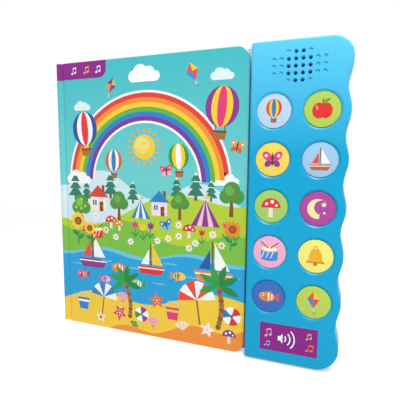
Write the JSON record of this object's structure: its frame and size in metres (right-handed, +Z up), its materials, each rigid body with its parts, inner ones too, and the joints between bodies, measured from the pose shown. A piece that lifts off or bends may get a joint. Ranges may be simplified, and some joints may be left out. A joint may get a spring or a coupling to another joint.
{
  "type": "sound book",
  "caption": "Child's hardcover sound book standing upright, with a wavy-edged module of round push buttons, a speaker grille and a battery compartment beside the pages.",
  "frame": {"origin": "under the middle of the standing book, on the surface that it stands on", "axes": "+X from the spine to the sound module, +Y from the front to the back, +Z up along the book's height; the front cover and the buttons face -Y"},
  "size_m": [0.2678, 0.0184, 0.2574],
  "materials": {
    "cover_wrap": "printed paper over board, glossy laminate",
    "pages": "coated white card",
    "module_plastic": "moulded sky-blue plastic, satin gloss",
    "button_caps": "moulded cap with a printed face, a colour of its own on each",
    "silicone": "translucent grey silicone",
    "circuit_board": "green solder mask on glass fibre board",
    "chip_resin": "black potting resin",
    "speaker_steel": "zinc-plated pressed steel",
    "speaker_paper": "black pressed paper cone",
    "plated_steel": "nickel-plated steel",
    "wire_red": "red insulation",
    "wire_black": "black insulation"
  },
  "bodies": {
    "module_and_back": {"back_cover": "cover_wrap", "back_joint_strip": "cover_wrap", "front_housing": "module_plastic", "battery_box": "module_plastic", "battery_door": "module_plastic", "rubber_dome_1": "silicone", "rubber_dome_2": "silicone", "rubber_dome_3": "silicone", "rubber_dome_4": "silicone", "rubber_dome_5": "silicone", "rubber_dome_6": "silicone", "rubber_dome_7": "silicone", "rubber_dome_8": "silicone", "rubber_dome_9": "silicone", "rubber_dome_10": "silicone", "circuit_board": "circuit_board", "sound_chip": "chip_resin", "speaker_frame": "speaker_steel", "speaker_magnet": "speaker_steel", "speaker_cone": "speaker_paper", "door_screw": "plated_steel", "contact_minus": "plated_steel", "contact_plus": "plated_steel", "contact_spring": "plated_steel", "battery_cell_1": "plated_steel", "battery_cell_2": "plated_steel", "battery_cell_3": "plated_steel", "case_screw_1": "plated_steel", "case_screw_2": "plated_steel", "case_screw_3": "plated_steel", "case_screw_4": "plated_steel", "case_screw_5": "plated_steel", "case_screw_6": "plated_steel", "speaker_wire_red": "wire_red", "battery_wire_red": "wire_red", "speaker_wire_black": "wire_black", "battery_wire_black": "wire_black"},
    "pages": {"page_block": "pages", "spine": "cover_wrap", "front_joint_strip": "cover_wrap"},
    "front_cover": {"front_cover": "cover_wrap"},
    "button_1": {"button_1": "button_caps"},
    "button_2": {"button_2": "button_caps"},
    "button_3": {"button_3": "button_caps"},
    "button_4": {"button_4": "button_caps"},
    "button_5": {"button_5": "button_caps"},
    "button_6": {"button_6": "button_caps"},
    "button_7": {"button_7": "button_caps"},
    "button_8": {"button_8": "button_caps"},
    "button_9": {"button_9": "button_caps"},
    "button_10": {"button_10": "button_caps"}
  },
  "joints": [
    {"name": "back_cover_hinge", "type": "hinge", "parent": "module_and_back", "child": "pages", "pos_m": [-0.1291, 0.00795, 0.1287], "axis": [0, 0, -1], "range_deg": [0, 180], "deforming": ["back_joint_strip"]},
    {"name": "front_cover_hinge", "type": "hinge", "parent": "pages", "child": "front_cover", "pos_m": [-0.1291, -0.00205, 0.1287], "axis": [0, 0, -1], "range_deg": [0, 180], "deforming": ["front_joint_strip"]},
    {"name": "button_1_press", "type": "slide", "parent": "module_and_back", "child": "button_1", "axis": [0, 1, 0], "range_m": [0, 0.001], "stiffness_N_per_m": 500, "deforming": ["rubber_dome_1"]},
    {"name": "button_2_press", "type": "slide", "parent": "module_and_back", "child": "button_2", "axis": [0, 1, 0], "range_m": [0, 0.001], "stiffness_N_per_m": 500, "deforming": ["rubber_dome_2"]},
    {"name": "button_3_press", "type": "slide", "parent": "module_and_back", "child": "button_3", "axis": [0, 1, 0], "range_m": [0, 0.001], "stiffness_N_per_m": 500, "deforming": ["rubber_dome_3"]},
    {"name": "button_4_press", "type": "slide", "parent": "module_and_back", "child": "button_4", "axis": [0, 1, 0], "range_m": [0, 0.001], "stiffness_N_per_m": 500, "deforming": ["rubber_dome_4"]},
    {"name": "button_5_press", "type": "slide", "parent": "module_and_back", "child": "button_5", "axis": [0, 1, 0], "range_m": [0, 0.001], "stiffness_N_per_m": 500, "deforming": ["rubber_dome_5"]},
    {"name": "button_6_press", "type": "slide", "parent": "module_and_back", "child": "button_6", "axis": [0, 1, 0], "range_m": [0, 0.001], "stiffness_N_per_m": 500, "deforming": ["rubber_dome_6"]},
    {"name": "button_7_press", "type": "slide", "parent": "module_and_back", "child": "button_7", "axis": [0, 1, 0], "range_m": [0, 0.001], "stiffness_N_per_m": 500, "deforming": ["rubber_dome_7"]},
    {"name": "button_8_press", "type": "slide", "parent": "module_and_back", "child": "button_8", "axis": [0, 1, 0], "range_m": [0, 0.001], "stiffness_N_per_m": 500, "deforming": ["rubber_dome_8"]},
    {"name": "button_9_press", "type": "slide", "parent": "module_and_back", "child": "button_9", "axis": [0, 1, 0], "range_m": [0, 0.001], "stiffness_N_per_m": 500, "deforming": ["rubber_dome_9"]},
    {"name": "button_10_press", "type": "slide", "parent": "module_and_back", "child": "button_10", "axis": [0, 1, 0], "range_m": [0, 0.001], "stiffness_N_per_m": 500, "deforming": ["rubber_dome_10"]}
  ]
}
